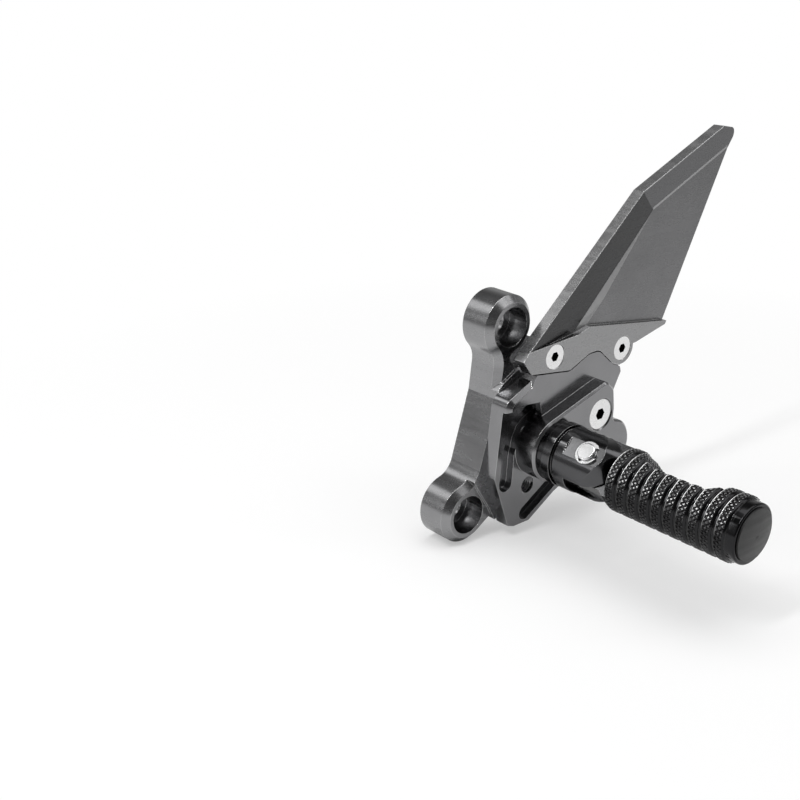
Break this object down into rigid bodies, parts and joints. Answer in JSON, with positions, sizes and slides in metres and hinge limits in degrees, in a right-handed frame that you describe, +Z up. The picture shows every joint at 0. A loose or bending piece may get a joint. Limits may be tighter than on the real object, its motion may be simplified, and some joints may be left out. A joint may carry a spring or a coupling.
{
  "type": "motorcycle rear set footrest",
  "caption": "Rear set footrest: two-bolt frame bracket, adjustable carrier plate with heel guard, and a folding ringed footpeg with a spring-loaded fork hinge.",
  "frame": {"origin": "on the axis of the lower frame bolt, on the bracket's mounting face", "axes": "+X to the rear of the motorcycle, +Z up, -Y outboard along the footpeg, for the left side of the machine"},
  "size_m": [0.173, 0.1398, 0.1702],
  "materials": {
    "bracket_metal": "satin",
    "carrier_metal": "satin",
    "guard_metal": "satin",
    "collar_metal": "satin",
    "fork_metal": "gloss",
    "peg_metal": "satin",
    "screw_steel": "satin",
    "bolt_steel": "satin",
    "pin_steel": "satin",
    "clip_steel": "satin",
    "spring_steel": "satin",
    "bush_brass": "satin",
    "cap_plastic": "matte",
    "washer_plastic": "matte"
  },
  "bodies": {
    "bracket": {"frame_bracket": "bracket_metal", "carrier_plate": "carrier_metal", "heel_guard": "guard_metal", "guard_screw_front": "screw_steel", "guard_screw_rear": "screw_steel", "carrier_screw": "screw_steel", "mount_collar": "collar_metal", "peg_mount": "fork_metal", "hinge_pin": "pin_steel", "hinge_clip": "clip_steel", "peg_mount_bolt": "bolt_steel", "peg_mount_washer": "bolt_steel", "clocking_pin": "pin_steel", "thrust_washer_front": "washer_plastic", "thrust_washer_rear": "washer_plastic"},
    "footpeg": {"peg_body": "peg_metal", "end_cap": "cap_plastic", "pivot_bush": "bush_brass", "return_spring": "spring_steel"}
  },
  "joints": [
    {"name": "peg_fold", "type": "hinge", "parent": "bracket", "child": "footpeg", "pos_m": [0.035, -0.061, 0.028], "axis": [-0.6691, 0, 0.7431], "range_deg": [0, 86], "stiffness_Nm_per_rad": 0.15, "springref_deg": -85.94, "deforming": ["return_spring"]}
  ]
}
